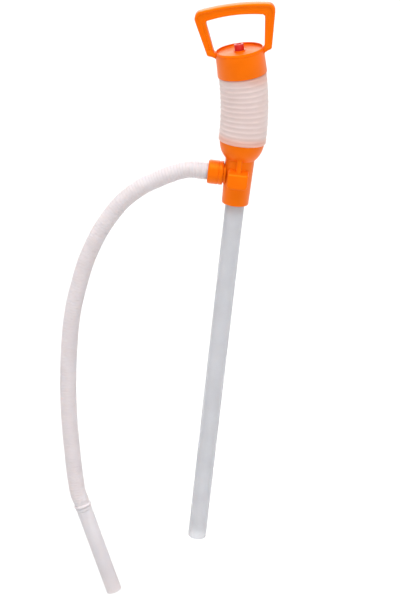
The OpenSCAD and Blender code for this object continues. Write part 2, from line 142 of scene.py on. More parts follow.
def placed(piece, matrix):
    piece.matrix_world = matrix
    makeActive(piece)
    bpy.ops.object.transform_apply(location=True, rotation=True, scale=True)
    return piece


def smooth(piece, angle=35):
    makeActive(piece)
    bpy.ops.object.shade_smooth_by_angle(angle=math.radians(angle))


def finished(piece, material, slot, body, *nodes, angle=35):
    smooth(piece, angle)
    piece.data.materials.clear()
    piece.data.materials.append(material)
    if body:
        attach(piece, body)
    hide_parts(*nodes)
    return piece


# Camera: it looks down a little, and is rolled so that the barrel leans to the right.
# originAt is where the frame's origin falls in the picture, in pixels from the top left
photoView = {"away": 1893.5, "rise": 16.8, "roll": 6.5, "lens": 96, "sensor": 36,
             "reach": 20, "frame": (400, 600), "originAt": (238.6, 171.4)}


def makeCamera(view):
    wide, high = view["frame"]
    pixels = view["lens"] / view["sensor"] * high
    rise, roll = math.radians(view["rise"]), math.radians(view["roll"])
    eye = Vector((0, -math.cos(rise), math.sin(rise))) * view["away"] * mm
    ahead = -eye.normalized()
    right = ahead.cross(Vector((0, 0, 1))).normalized()
    above = right.cross(ahead)
    rolledRight = math.cos(roll) * right + math.sin(roll) * above
    rolledUp = math.cos(roll) * above - math.sin(roll) * right
    aim = Vector(((view["originAt"][0] - wide / 2) / pixels,
                  (high / 2 - view["originAt"][1]) / pixels, -1)).normalized()
    shifted = Vector((0, 0, -1)).rotation_difference(aim).to_matrix()
    axes = (shifted @ Matrix((rolledRight, rolledUp, -ahead))).transposed()
    lens = bpy.data.cameras.new("photoCamera")
    lens.sensor_fit = "VERTICAL"
    lens.sensor_height = view["sensor"]
    lens.lens = view["lens"]
    lens.clip_end = view["reach"]
    camera = bpy.data.objects.new("photoCamera", lens)
    scene.collection.objects.link(camera)
    camera.matrix_world = Matrix.Translation(eye) @ axes.to_4x4()
    scene.camera = camera


makeCamera(photoView)
report("camera placed")

# Surfaces: each plastic has a slow drift between its light and dark colour, fine grain and
# uneven gloss. soft and depth are how much light goes into it and how far, clear how much
# goes through it, and level how strongly it reflects
shared = {"drift": 35.0, "spread": (0.2, 0.8), "bumpDepth": 0.0002,
          "scatter": (0.004, 0.003, 0.0025), "coatRough": 0.12, "ior": 1.47}
orangePlastic = {"light": (0.81, 0.124, 0.001), "dark": (0.75, 0.109, 0.001),
                 "rough": (0.36, 0.48), "shine": (1.0, 0.65, 0.03), "grain": 1500,
                 "bump": 0.05, "soft": 0.04, "depth": 0.5, "clear": 0.0, "coat": 0.0, "level": 0.8}
redPlastic = {"light": (0.56, 0.012, 0.007), "dark": (0.46, 0.007, 0.004),
              "rough": (0.28, 0.36), "shine": (1.0, 0.6, 0.6), "grain": 1800,
              "bump": 0.04, "soft": 0.05, "depth": 0.5, "clear": 0.0, "coat": 0.05, "level": 0.5}
bellowsPlastic = {"light": (0.80, 0.595, 0.555), "dark": (0.76, 0.555, 0.515),
                  "rough": (0.30, 0.42), "shine": (1.0, 0.95, 0.95), "grain": 900,
                  "bump": 0.06, "soft": 0.4, "depth": 2.2, "clear": 0.12, "coat": 0.0, "level": 0.5}
hosePlastic = {"light": (0.67, 0.60, 0.61), "dark": (0.63, 0.565, 0.575),
               "rough": (0.42, 0.55), "shine": (1.0, 0.97, 0.98), "grain": 1100,
               "bump": 0.06, "soft": 0.6, "depth": 1.6, "clear": 0.12, "coat": 0.0, "level": 0.3}
pipePlastic = {"light": (0.76, 0.76, 0.79), "dark": (0.71, 0.71, 0.74),
               "rough": (0.15, 0.25), "shine": (1.0, 1.0, 1.0), "grain": 700,
               "bump": 0.04, "soft": 0.2, "depth": 1.2, "clear": 0.5, "coat": 0.0, "level": 0.5}
whitePlastic = {"light": (0.68, 0.68, 0.66), "dark": (0.62, 0.62, 0.60),
                "rough": (0.34, 0.50), "shine": (1.0, 1.0, 1.0), "grain": 1400,
                "bump": 0.05, "soft": 0.15, "depth": 0.6, "clear": 0.0, "coat": 0.0, "level": 0.5}
blackRubber = {"light": (0.045, 0.045, 0.045), "dark": (0.025, 0.025, 0.025),
               "rough": (0.60, 0.80), "shine": (1.0, 1.0, 1.0), "grain": 2200,
               "bump": 0.15, "soft": 0.0, "depth": 0.5, "clear": 0.0, "coat": 0.0, "level": 0.5}


def addNode(nodes, kind, **values):
    node = nodes.new(kind)
    for key, value in values.items():
        if key in node.inputs:
            node.inputs[key].default_value = value
        else:
            setattr(node, key, value)
    return node


def startMaterial(name):
    material = bpy.data.materials.new(name)
    material.use_nodes = True
    nodes, links = material.node_tree.nodes, material.node_tree.links
    place = addNode(nodes, "ShaderNodeTexCoord").outputs["Object"]
    return material, nodes, links, nodes["Principled BSDF"], place


def plastic(name, look):
    material, nodes, links, shader, place = startMaterial(name)
    drift = addNode(nodes, "ShaderNodeTexNoise", Scale=shared["drift"], Detail=3.0,
                    Roughness=0.55)
    grain = addNode(nodes, "ShaderNodeTexNoise", Scale=float(look["grain"]), Detail=2.0)
    tint = addNode(nodes, "ShaderNodeMix", data_type="RGBA")
    tint.inputs[6].default_value = (*look["dark"], 1)
    tint.inputs[7].default_value = (*look["light"], 1)
    spread = addNode(nodes, "ShaderNodeMapRange", interpolation_type="SMOOTHERSTEP")
    spread.inputs["From Min"].default_value = shared["spread"][0]
    spread.inputs["From Max"].default_value = shared["spread"][1]
    gloss = addNode(nodes, "ShaderNodeMapRange")
    gloss.inputs["To Min"].default_value = look["rough"][0]
    gloss.inputs["To Max"].default_value = look["rough"][1]
    bump = addNode(nodes, "ShaderNodeBump", Strength=look["bump"],
                   Distance=shared["bumpDepth"])
    links.new(place, drift.inputs["Vector"])
    links.new(place, grain.inputs["Vector"])
    links.new(drift.outputs["Fac"], spread.inputs["Value"])
    links.new(spread.outputs["Result"], tint.inputs[0])
    links.new(tint.outputs[2], shader.inputs["Base Color"])
    links.new(drift.outputs["Fac"], gloss.inputs["Value"])
    links.new(gloss.outputs["Result"], shader.inputs["Roughness"])
    links.new(grain.outputs["Fac"], bump.inputs["Height"])
    links.new(bump.outputs["Normal"], shader.inputs["Normal"])
    shader.inputs["Subsurface Weight"].default_value = look["soft"]
    shader.inputs["Subsurface Radius"].default_value = shared["scatter"]
    shader.inputs["Subsurface Scale"].default_value = look["depth"]
    shader.inputs["Specular Tint"].default_value = (*look["shine"], 1)
    shader.inputs["Transmission Weight"].default_value = look["clear"]
    shader.inputs["Coat Weight"].default_value = look["coat"]
    shader.inputs["Coat Roughness"].default_value = shared["coatRough"]
    shader.inputs["Specular IOR Level"].default_value = look["level"]
    shader.inputs["IOR"].default_value = shared["ior"]
    return material


# The ends of the bellows are tinted orange. Over the cuff it is the orange collar seen through;
# the rest of the tint, on the ribs, is painted light: orange light thrown from the cap and collar.
# Each span is the height where the tint is strongest, and the height where it has gone
orangeSeenThroughAndSpillLight = {"colour": (0.78, 0.26, 0.15), "amount": 0.5, "spans": [(39.0, 50.0), (119.0, 104.0)]}


# Mixes the orange tint in by height: seen-through colour over the cuff, painted orange light on the
# ribs
def addSeenThroughAndSpillLight(material, look):
    nodes, links = material.node_tree.nodes, material.node_tree.links
    shader = nodes["Principled BSDF"]
    plain = shader.inputs["Base Color"].links[0].from_socket
    height = addNode(nodes, "ShaderNodeSeparateXYZ")
    links.new(addNode(nodes, "ShaderNodeTexCoord").outputs["Object"], height.inputs["Vector"])
    strength = None
    for full, none in look["spans"]:
        ramp = addNode(nodes, "ShaderNodeMapRange", interpolation_type="SMOOTHSTEP")
        ramp.inputs["From Min"].default_value = none * mm
        ramp.inputs["From Max"].default_value = full * mm
        ramp.inputs["To Max"].default_value = look["amount"]
        links.new(height.outputs["Z"], ramp.inputs["Value"])
        if strength is None:
            strength = ramp.outputs["Result"]
        else:
            larger = addNode(nodes, "ShaderNodeMath", operation="MAXIMUM")
            links.new(strength, larger.inputs[0])
            links.new(ramp.outputs["Result"], larger.inputs[1])
            strength = larger.outputs["Value"]
    tint = addNode(nodes, "ShaderNodeMix", data_type="RGBA")
    tint.inputs[7].default_value = (*look["colour"], 1)
    links.new(strength, tint.inputs[0])
    links.new(plain, tint.inputs[6])
    links.new(tint.outputs[2], shader.inputs["Base Color"])


# Steel, with fine lines that run round Z, as they do along a coil's wire
wire = {"colour": (0.62, 0.62, 0.64), "rough": (0.28, 0.42), "stretch": 14, "lines": 900.0,
        "bump": 0.1, "bumpDepth": 0.0001}


def drawnSteel(name, look):
    material, nodes, links, shader, place = startMaterial(name)
    stretch = addNode(nodes, "ShaderNodeMapping")
    stretch.inputs["Scale"].default_value = (1, 1, look["stretch"])
    lines = addNode(nodes, "ShaderNodeTexNoise", Scale=look["lines"], Detail=3.0)
    gloss = addNode(nodes, "ShaderNodeMapRange")
    gloss.inputs["To Min"].default_value = look["rough"][0]
    gloss.inputs["To Max"].default_value = look["rough"][1]
    bump = addNode(nodes, "ShaderNodeBump", Strength=look["bump"], Distance=look["bumpDepth"])
    links.new(place, stretch.inputs["Vector"])
    links.new(stretch.outputs["Vector"], lines.inputs["Vector"])
    links.new(lines.outputs["Fac"], gloss.inputs["Value"])
    links.new(gloss.outputs["Result"], shader.inputs["Roughness"])
    links.new(lines.outputs["Fac"], bump.inputs["Height"])
    links.new(bump.outputs["Normal"], shader.inputs["Normal"])
    shader.inputs["Base Color"].default_value = (*look["colour"], 1)
    shader.inputs["Metallic"].default_value = 1.0
    return material


orange = plastic("orangeMoulding", orangePlastic)
red = plastic("redMoulding", redPlastic)
milkyBellows = plastic("milkyBellows", bellowsPlastic)
# orange at the bellows' ends: the collar seen through, and painted orange light from the cap
addSeenThroughAndSpillLight(milkyBellows, orangeSeenThroughAndSpillLight)
milkyHose = plastic("milkyHose", hosePlastic)
clearPipe = plastic("clearPipe", pipePlastic)
whiteMoulding = plastic("whiteMoulding", whitePlastic)
rubber = plastic("blackRubber", blackRubber)
steel = drawnSteel("drawnSteel", wire)
report("materials made")

# The hose's centreline, in metres, from its end in the nut to the top of the spout
hoseRoute = [
    (-0.031, 0, -0.004), (-0.044, 0, -0.004), (-0.057, 0, -0.004), (-0.070, 0, -0.008),
    (-0.083, -0.001, -0.014), (-0.097, -0.001, -0.022), (-0.110, -0.002, -0.030),
    (-0.123, -0.003, -0.041), (-0.135, -0.004, -0.054), (-0.146, -0.005, -0.071),
    (-0.156, -0.006, -0.090), (-0.164, -0.007, -0.110), (-0.171, -0.009, -0.133),
    (-0.176, -0.010, -0.158), (-0.180, -0.012, -0.184), (-0.182, -0.014, -0.211),
    (-0.182, -0.016, -0.239), (-0.181, -0.018, -0.267), (-0.179, -0.020, -0.295),
    (-0.176, -0.022, -0.323), (-0.172, -0.024, -0.351), (-0.167, -0.026, -0.379),
    (-0.162, -0.028, -0.406), (-0.156, -0.030, -0.432), (-0.1515, -0.031, -0.442),
    (-0.147, -0.032, -0.452)]
# ringShape goes along the ring at the hose's end: how far from the end, and how far
# inside the ring's radius
hose = {"radius": 10.2, "rib": 0.45, "fullness": 0.55, "pitch": 3.5, "plain": 6.0,
        "cuff": 7.0, "bore": 8.1, "endRing": 0.7, "trim": 0.1, "sides": 32, "ribSteps": 6,
        "boreSteps": 90, "curveSteps": 40,
        "ringShape": [(4.1, 0.5), (3.6, 0.1), (3.0, 0), (2.0, 0), (1.4, 0.1), (0.9, 0.5)]}


def alongRoute(route, steps):
    # a smooth curve through the points, as pairs of distance and place
    points = [Vector(p) for p in route]
    points = [2 * points[0] - points[1]] + points + [2 * points[-1] - points[-2]]
    places = []
    for i in range(len(route) - 1):
        a, b, c, d = points[i:i + 4]
        for k in range(steps):
            u = k / steps
            places.append(0.5 * (2 * b + (c - a) * u + (2 * a - 5 * b + 4 * c - d) * u ** 2
                                 + (3 * b - a - 3 * c + d) * u ** 3))
    places.append(points[-2])
    run, walked = 0.0, [(0.0, places[0])]
    for here, there in zip(places, places[1:]):
        run += (there - here).length
        walked.append((run, there))
    return walked


def frameAt(walked, distance):
    # place and direction at a distance along the route
    low, high = 0, len(walked) - 1
    while high - low > 1:
        middle = (low + high) // 2
        if walked[middle][0] <= distance:
            low = middle
        else:
            high = middle
    start, end = walked[low], walked[high]
    share = (distance - start[0]) / (end[0] - start[0])
    either = 3  # steps to each side that the direction is taken over
    before = walked[max(low - either, 0)][1]
    after = walked[min(high + either, len(walked) - 1)][1]
    return start[1].lerp(end[1], share), (after - before).normalized()


def makeHose(look, route):
    walked = alongRoute(route, look["curveSteps"])
    length = walked[-1][0]
    end = length / mm - look["trim"]
    groove = look["radius"] - look["rib"]
    ribs = int((length / mm - look["plain"] - look["cuff"]) // look["pitch"])
    outside = [(0, groove), (look["plain"] - 1, groove)]
    for i in range(ribs):
        for k in range(look["ribSteps"]):
            share = k / look["ribSteps"]
            swell = (0.5 - 0.5 * math.cos(2 * math.pi * share)) ** look["fullness"]
            outside.append((look["plain"] + (i + share) * look["pitch"],
                            groove + look["rib"] * swell))
    ring = look["radius"] + look["endRing"]
    outside += [(end - 6.2, groove), (end - 4.4, groove)]
    outside += [(end - back, ring - inset) for back, inset in look["ringShape"]]
    outside += [(end - 0.6, groove + 0.1), (end, groove)]
    steps = look["boreSteps"]
    inside = [(end * i / steps, look["bore"]) for i in range(steps, -1, -1)]
    rings = outside + inside
    sides, vertices, faces = look["sides"], [], []
    for distance, radius in rings:
        place, way = frameAt(walked, min(distance * mm, length - 1e-7))
        across = Vector((0, 1, 0)).cross(way).normalized()
        up = way.cross(across)
        for k in range(sides):
            turn = 2 * math.pi * k / sides
            outwards = math.cos(turn) * across + math.sin(turn) * up
            vertices.append(place + radius * mm * outwards)
    count = len(rings)
    for i in range(count):
        j = (i + 1) % count
        for k in range(sides):
            after = (k + 1) % sides
            faces.append((i * sides + k, i * sides + after, j * sides + after, j * sides + k))
    mesh = bpy.data.meshes.new("ribbedHose")
    mesh.from_pydata(vertices, [], faces)
    piece = bpy.data.objects.new("ribbedHose", mesh)
    scene.collection.objects.link(piece)
    makeActive(piece)
    bpy.ops.object.mode_set(mode="EDIT")
    pointOutwards()
    return piece, walked


# Spout: its neck is inside the hose, and a low collar meets the hose's ring
spout = {"outer": 9.8, "bore": 8.7, "length": 121, "neck": 7.9, "neckBore": 6.8,
         "neckLength": 12, "collar": 10.1, "sides": 64}


def makeSpout(look, route):
    r, bore, end, neck = look["outer"], look["bore"], look["length"], look["neckLength"]
    profile = [(look["neckBore"], -neck), (look["neck"], -neck), (look["neck"], 0), (r, 0),
               (look["collar"], 0.5), (look["collar"], 3.2), (r - 0.3, 3.9), (r - 0.3, 4.6),
               (r, 5.3), (r, end - 0.9), (r - 0.25, end - 0.25), (r - 0.6, end),
               (bore + 0.2, end), (bore, end - 0.4), (bore, 2), (look["neckBore"], 2),
               (look["neckBore"], -neck)]
    piece = turned("smoothSpout", profile, look["sides"])
    start = Vector(route[-1])
    way = (start - Vector(route[-2])).normalized()
    turn = Vector((0, 0, 1)).rotation_difference(way).to_matrix().to_4x4()
    return placed(piece, Matrix.Translation(start) @ turn)


ribbedHose, hosePath = makeHose(hose, hoseRoute)
smoothSpout = makeSpout(spout, hoseRoute)
finished(smoothSpout, milkyHose, "hose_plastic", "hose_line", "outlet_spout")
finished(ribbedHose, milkyHose, "hose_plastic", "hose_line", "outlet_hose", angle=60)
report("hose and spout made")

# Bellows: a lathe shape on its own axis, then laid along the arc up to the cap. It bends
# by bend degrees, towards way degrees from the outlet. beadShape goes up the bead of the
# cuff: how far inside the bead's radius, and the height
bellows = {"radius": 28.1, "rib": 0.5, "fullness": 2.4, "wall": 1.2, "pitch": 6.1, "ribs": 12,
           "ribSteps": 8, "cuff": 7.8, "cuffTop": 44.8, "cuffRise": 0.15, "bead": 27.9,
           "beadShape": [(1.2, 0), (0.5, 0.2), (0.1, 0.7), (0, 1.4), (0, 3.9), (0.1, 4.5),
                         (0.6, 5.0)],
           "collar": 25.42, "neck": 25.9, "neckLength": 20.0, "neckWall": 1.8,
           "bend": 13.6, "way": 14.6, "sides": 96}
bendRadius = bellows["pitch"] * bellows["ribs"] / math.radians(bellows["bend"])
headLean, bendWay = math.radians(bellows["bend"]), math.radians(bellows["way"])
bendSide = Vector((-math.cos(bendWay), -math.sin(bendWay), 0))
headAt = (bendRadius * (1 - math.cos(headLean)) * bendSide
          + Vector((0, 0, bellows["cuffTop"] + bendRadius * math.sin(headLean))))
headPlace = (Matrix.Translation(headAt * mm) @ Matrix.Rotation(bendWay, 4, "Z")
             @ Matrix.Rotation(-headLean, 4, "Y") @ Matrix.Rotation(-bendWay, 4, "Z"))


def makeBellows(look):
    groove, arc = look["radius"] - look["rib"], look["pitch"] * look["ribs"]
    low = look["cuffRise"] - look["cuff"]
    outside = [(look["bead"] - inset, low + height) for inset, height in look["beadShape"]]
    outside += [(groove + 0.7, low + 5.4), (groove + 0.1, -1.6)]
    wave = []
    for i in range(look["ribs"]):
        for k in range(look["ribSteps"]):
            share = k / look["ribSteps"]
            swell = (0.5 - 0.5 * math.cos(2 * math.pi * share)) ** look["fullness"]
            wave.append(((i + share) * look["pitch"], look["rib"] * swell))
    outside += [(groove + swell, s) for s, swell in wave]
    outside += [(look["neck"], arc), (look["neck"], arc + look["neckLength"])]
    inside = [(look["neck"] - look["neckWall"], arc + look["neckLength"]),
              (look["neck"] - look["neckWall"], arc)]
    inside += [(groove + swell - look["wall"], s) for s, swell in reversed(wave)]
    inside += [(look["collar"], -1.2), (look["collar"], low)]
    profile = outside + inside
    piece = turned("milkyBellows", profile + profile[:1], look["sides"])
    for vertex in piece.data.vertices:  # s is the distance along the axis before the bend
        x, y, s = vertex.co / mm
        turn = min(max(s, 0), arc) / bendRadius
        over = min(s, 0) + max(s - arc, 0)
        up = Vector((0, 0, 1))
        middle = (bendRadius * (1 - math.cos(turn)) * bendSide
                  + (look["cuffTop"] + bendRadius * math.sin(turn)) * up)
        along = math.sin(turn) * bendSide + math.cos(turn) * up
        inward = Vector((x, y, 0)).dot(bendSide)
        across = Vector((x, y, 0)) - inward * bendSide
        tipped = inward * (math.cos(turn) * bendSide - math.sin(turn) * up)
        vertex.co = (middle + across + tipped + over * along) * mm
    return piece


bellowsPiece = makeBellows(bellows)  # it stretches between the top of its cuff and the cap
finished(bellowsPiece, milkyBellows, "bellows_plastic", None, "bellows", angle=60)
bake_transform(bellowsPiece)
report("bellows made")

# Cap and handle, on the tilted axis of the bellows' upper end. The plate is sunk inside the
# rim, and a fine step runs under the band round the rim
cap = {"low": 28.7, "lowEdge": 0.9, "top": 28.0, "height": 29.8, "plate": 27.0, "under": 24.4,
       "skirtBore": 26.4, "skirtDepth": 21.9, "hollow": 22.8, "rim": 1.4, "band": 2.8,
       "step": 0.35, "boss": 6.8, "bossTop": 28.6, "well": 5.75, "wellFloor": 19.3,
       "guide": 14.3, "stemBore": 2.1, "vents": 3, "ventAt": 3.35, "vent": 0.9, "sides": 128}
# The web is the shallow recess in the handle's front and back, and lip is its border
handle = {"height": 52.3, "shoulders": 92.5, "feet": 75.0, "bar": 11.7, "gripTop": 67.5,
          "gripLow": 58.0, "depth": 12.0, "corner": 9.0, "innerCorner": 3.0, "edge": 1.9,
          "crown": 2.8, "footDrop": 3.0, "lip": 2.9, "web": 1.4, "webStart": 3.0,
          "webEdge": 0.9, "cornerSteps": 10, "innerSteps": 8}


def arcPoints(centre, radius, fromAngle, toAngle, steps):
    angles = [fromAngle + (toAngle - fromAngle) * i / steps for i in range(steps + 1)]
    return [(centre[0] + radius * math.cos(a), centre[1] + radius * math.sin(a)) for a in angles]


def mirroredRing(outer, inner):
    # right halves of an outer and an inner edge, joined with their left halves
    outline = outer + [(-x, z) for x, z in reversed(outer[:-1])]
    return outline + [(-x, z) for x, z in inner] + list(reversed(inner))[1:]


def archHalf(halfWidth, top, corner, level, lean, steps):
    # half of a slightly crowned bar with a round corner, from the side to the middle
    centre = halfWidth - corner / math.cos(lean)
    drop = top - level
    big = (centre ** 2 + drop ** 2 - corner ** 2) / (2 * (drop - corner))
    turn = math.atan2(level - top + big, centre)
    crown = arcPoints((0, top - big), big, turn, math.pi / 2, steps)
    return arcPoints((centre, level), corner, -lean, turn, steps) + crown[1:]


def sinkWeb(piece, look, level, lean, innerLevel, innerLean):
    lip, foot, start = look["lip"], -look["footDrop"], look["webStart"]
    under = look["height"] - look["bar"] + lip
    outSide = look["feet"] / 2 + math.tan(lean) * (start - foot) - lip
    inSide = look["gripLow"] / 2 + math.tan(innerLean) * start + lip
    outer = archHalf(look["shoulders"] / 2 - lip, look["height"] - lip, look["corner"] - lip,
                     level, lean, look["cornerSteps"])
    inner = archHalf(look["gripTop"] / 2 + lip, under, look["innerCorner"] + lip,
                     innerLevel, innerLean, look["innerSteps"])
    outline = mirroredRing([(outSide, start)] + outer, [(inSide, start)] + inner)
    for side in (-1, 1):
        tool = extruded("webCut", outline, 2 * look["web"])
        placed(tool, Matrix.Translation((0, side * look["depth"] / 2 * mm, 0)))
        combine(piece, tool, "DIFFERENCE")


def makeHandle(look, capTop):
    foot, footSide, gripSide = -look["footDrop"], look["feet"] / 2, look["gripLow"] / 2
    level = look["height"] - look["corner"] - look["crown"]
    lean = math.atan((look["shoulders"] - look["feet"]) / 2 / (level - foot))
    under = look["height"] - look["bar"]
    innerLevel = under - look["innerCorner"] - look["crown"]
    innerLean = math.atan((look["gripTop"] - look["gripLow"]) / 2 / innerLevel)
    outer = [(capTop - 1.2, foot - 6), (capTop + 1.5, foot - 3.2), (footSide - 4.5, foot - 1.4),
             (footSide - 1.4, foot - 0.4), (footSide - 0.1, foot + 1.0)]
    outer += archHalf(look["shoulders"] / 2, look["height"], look["corner"], level, lean,
                      look["cornerSteps"])
    inner = [(capTop - 1.2, -1.6), (gripSide - 0.1, 0), (gripSide + 0.4, 2.5)]
    inner += archHalf(look["gripTop"] / 2, under, look["innerCorner"], innerLevel, innerLean,
                      look["innerSteps"])
    piece = extruded("handle", mirroredRing(outer, inner), look["depth"])
    roundEdges(piece, look["edge"], 3, 60)
    sinkWeb(piece, look, level, lean, innerLevel, innerLean)
    roundEdges(piece, look["webEdge"], 2, 60)
    return placed(piece, Matrix.Translation((0, 0, cap["height"] * mm)))


def makeCap(look, handleLook):
    low, edge, top, high = look["low"], look["lowEdge"], look["top"], look["height"]
    plate, rim, boss, bossTop = look["plate"], top - look["rim"], look["boss"], look["bossTop"]
    band, step = high - look["band"], top - look["step"]
    shell = [(0, 0), (low - edge, 0), (low - 0.25, 0.25), (low, edge), (top, band - 0.5),
             (step, band - 0.3), (step, band), (top, band + 0.25), (top - 0.85, high - 0.35),
             (top - 1.0, high - 0.08), (rim, high), (rim - 0.2, high - 0.2),
             (rim - 0.35, plate + 0.3), (rim - 0.7, plate), (boss + 0.5, plate),
             (boss, plate + 0.3), (boss - 0.3, bossTop), (0, bossTop)]
    piece = turned("handleCap", shell, look["sides"])
    combine(piece, makeHandle(handleLook, top), "UNION")
    bore, depth, hollow = look["skirtBore"], look["skirtDepth"], look["hollow"]
    under, guide, stem = look["under"], look["guide"], look["stemBore"]
    well, floor = look["well"], look["wellFloor"]
    skirtCut = turned("skirtCut", [(0, -1), (bore, -1), (bore, depth), (hollow, depth),
                                   (hollow, under), (boss, under), (boss, guide), (0, guide)], 96)
    combine(piece, skirtCut, "DIFFERENCE")
    wellCut = turned("wellCut", [(0, guide - 1), (stem, guide - 1), (stem, floor), (well, floor),
                                 (well, high + 3), (0, high + 3)], 48)
    combine(piece, wellCut, "DIFFERENCE")
    for i in range(look["vents"]):
        vent = turned("ventCut", [(0, guide - 1), (look["vent"], guide - 1),
                                  (look["vent"], floor + 1), (0, floor + 1)], 20)
        around = Matrix.Rotation(2 * math.pi * i / look["vents"], 4, "Z")
        placed(vent, around @ Matrix.Translation((look["ventAt"] * mm, 0, 0)))
        combine(piece, vent, "DIFFERENCE")
    return placed(piece, headPlace)


finished(makeCap(cap, handle), orange, "orange_plastic", "head", "cap_handle")
report("cap and handle made")

# Release button, sunk in its well, with a dished top
button = {"radius": 5.5, "low": 25.9, "top": 35.7, "round": 0.7, "dish": 2.9,
          "dishDepth": 1.0, "stem": 2.0, "stemEnd": 9.6, "sides": 64}


def makeButton(look):
    r, top, dish = look["radius"], look["top"], look["dish"]
    stem, end, low, sunk = look["stem"], look["stemEnd"], look["low"], top - look["dishDepth"]
    profile = [(0, end), (stem - 0.3, end), (stem, end + 0.4), (stem, low), (r - 0.3, low),
               (r, low + 0.3), (r, top - look["round"]), (r - 0.2, top - 0.25),
               (r - look["round"], top), (dish + 0.4, top), (dish, top - 0.2),
               (dish - 0.5, sunk), (0, sunk - 0.2)]
    return placed(turned("releaseButton", profile, look["sides"]), headPlace)


finished(makeButton(button), red, "red_plastic", "button", "release_button")
report("button made")

# Spring under the button: a coil. The real spring shortens as the button goes down, to no less
# than the share keep of its height
spring = {"radius": 4.3, "wire": 0.35, "low": 19.75, "high": 25.45, "turns": 4, "steps": 24,
          "sides": 12, "keep": 0.6}


def makeSpring(look):
    deselectAll()
    bpy.ops.mesh.primitive_circle_add(vertices=look["sides"], radius=look["wire"] * mm,
                                      location=(look["radius"] * mm, 0, look["low"] * mm),
                                      rotation=(math.pi / 2, 0, 0))
    piece = bpy.context.object
    piece.name = piece.data.name = "buttonSpring"
    bpy.ops.object.transform_apply(location=True, rotation=True, scale=True)
    bpy.ops.object.modifier_add(type="SCREW")
    coil = piece.modifiers[-1]
    coil.angle = 2 * math.pi * look["turns"]
    coil.screw_offset = (look["high"] - look["low"]) * mm
    coil.steps = coil.render_steps = look["steps"] * look["turns"]
    bpy.ops.object.modifier_apply(modifier=coil.name)
    bpy.ops.object.mode_set(mode="EDIT")
    bpy.ops.mesh.select_all(action="SELECT")
    bpy.ops.mesh.fill_holes(sides=look["sides"])
    pointOutwards()
    return placed(piece, headPlace)


springPiece = finished(makeSpring(spring), steel, "spring_steel", "head", "release_spring")
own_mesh(springPiece)
report("spring made")

# Body: cup and barrel in one, with the side branch, the lip hook and its rib
body = {"barrelTop": 17.2, "barrelLow": 15.9, "below": 39.0, "neck": 16.0, "bore": 13.6,
        "floor": 3.0, "cup": 26.2, "cupHeight": 21.0, "cupDrop": 28.5, "cupWall": 1.5,
        "cupSteps": 16, "collar": 24.3, "collarHeight": 7.0, "collarBore": 22.3,
        "nipple": 9.8, "nippleLength": 12.0, "nippleBore": 7.5, "sides": 128}
branch = {"level": -4.0, "face": 17.4, "radius": 12.2, "stub": 11.4, "stubEnd": 27.0,
          "chamber": 8.6, "chamberFrom": 15.1, "port": 6.2}
hook = {"width": 24.0, "drop": 15.0, "inside": 23.4, "outside": 26.6, "top": 3.0, "rise": 3.7,
        "root": 14.6, "edge": 1.5, "shoulder": 2.6, "shoulderTurn": 75, "corner": 4.5,
        "cornerSteps": 6, "windowTop": 20, "ribWidth": 5.8, "ribEdge": 0.8}
branchPlace = (Matrix.Translation((0, 0, branch["level"] * mm))
               @ Matrix.Rotation(-math.pi / 2, 4, "Y"))


def makeBarrel(look):
    # up the outside from the foot of the nipple, then down the inside
    neck, shoulder, steps = look["neck"], look["neck"] + look["cupHeight"], look["cupSteps"]
    low, foot = -look["below"], -look["below"] - look["nippleLength"]
    barrel, nipple, nippleBore = look["barrelLow"], look["nipple"], look["nippleBore"]
    profile = [(nippleBore, foot), (nipple - 0.5, foot), (nipple, foot + 1.5), (nipple, low),
               (barrel - 0.8, low), (barrel - 0.2, low + 0.25), (barrel, low + 0.9),
               (look["barrelTop"], neck)]

    def cupAt(z):
        return look["cup"] * math.sqrt(1 - ((shoulder - z) / look["cupDrop"]) ** 2)

    correction = look["barrelTop"] - cupAt(neck)  # fades out on the way up
    for i in range(1, steps + 1):
        z = neck + look["cupHeight"] * i / steps
        profile.append((cupAt(z) + correction * (1 - i / steps), z))
    collar, cupBore, rim = look["collar"], look["collarBore"], shoulder + look["collarHeight"]
    profile += [(collar, shoulder), (collar, rim - 0.5), (collar - 0.4, rim), (cupBore, rim)]
    drop = look["cupDrop"] - look["cupWall"]
    bowlLow = shoulder - drop * math.sqrt(1 - (look["bore"] / cupBore) ** 2)
    for i in range(steps, -1, -1):
        z = bowlLow + (shoulder - bowlLow) * i / steps
        profile.append((cupBore * math.sqrt(1 - ((shoulder - z) / drop) ** 2), z))
    floor = low + look["floor"]
    profile += [(look["bore"], floor), (nippleBore, floor)]
    return turned("pumpBody", profile + profile[:1], look["sides"])


def hookPiece(name, outline, width):
    # outline is (out from the axis, height), laid on the barrel's front
    return placed(extruded(name, outline, width), Matrix.Rotation(-math.pi / 2, 4, "Z"))


def makeHook(look):
    out, inside, drop, top = look["outside"], look["inside"], look["drop"], look["top"]
    turn, steps, sweep = look["shoulder"], look["cornerSteps"], math.radians(look["shoulderTurn"])
    outline = [(look["root"], 0), (inside, 0), (inside, -drop), (out, -drop)]
    outline += arcPoints((out - turn, top - turn), turn, 0, sweep, steps)
    outline += [(look["root"], top + look["rise"])]
    piece = hookPiece("hook", outline, look["width"])
    # the lower corners are rounded by keeping what a window with round corners lets through
    half, corner, above = look["width"] / 2, look["corner"], look["windowTop"]
    low = arcPoints((half - corner, corner - drop), corner, 0, -math.pi / 2, steps)
    window = [(half, above)] + low + [(-x, z) for x, z in reversed(low)] + [(-half, above)]
    combine(piece, extruded("hookWindow", window, 3 * out), "INTERSECT")
    roundEdges(piece, look["edge"], 3, 30)
    return piece


def makeHookRib(look, bodyLook):
    barrel, neck = bodyLook["barrelTop"], bodyLook["neck"]
    outline = [(look["root"], look["top"]), (look["inside"] - 1.2, look["top"]),
               (barrel + 2, neck - 2), (barrel + 3.5, neck + 4), (look["root"] + 2, neck + 4)]
    piece = hookPiece("hookRib", outline, look["ribWidth"])
    roundEdges(piece, look["ribEdge"], 3, 30)
    return piece


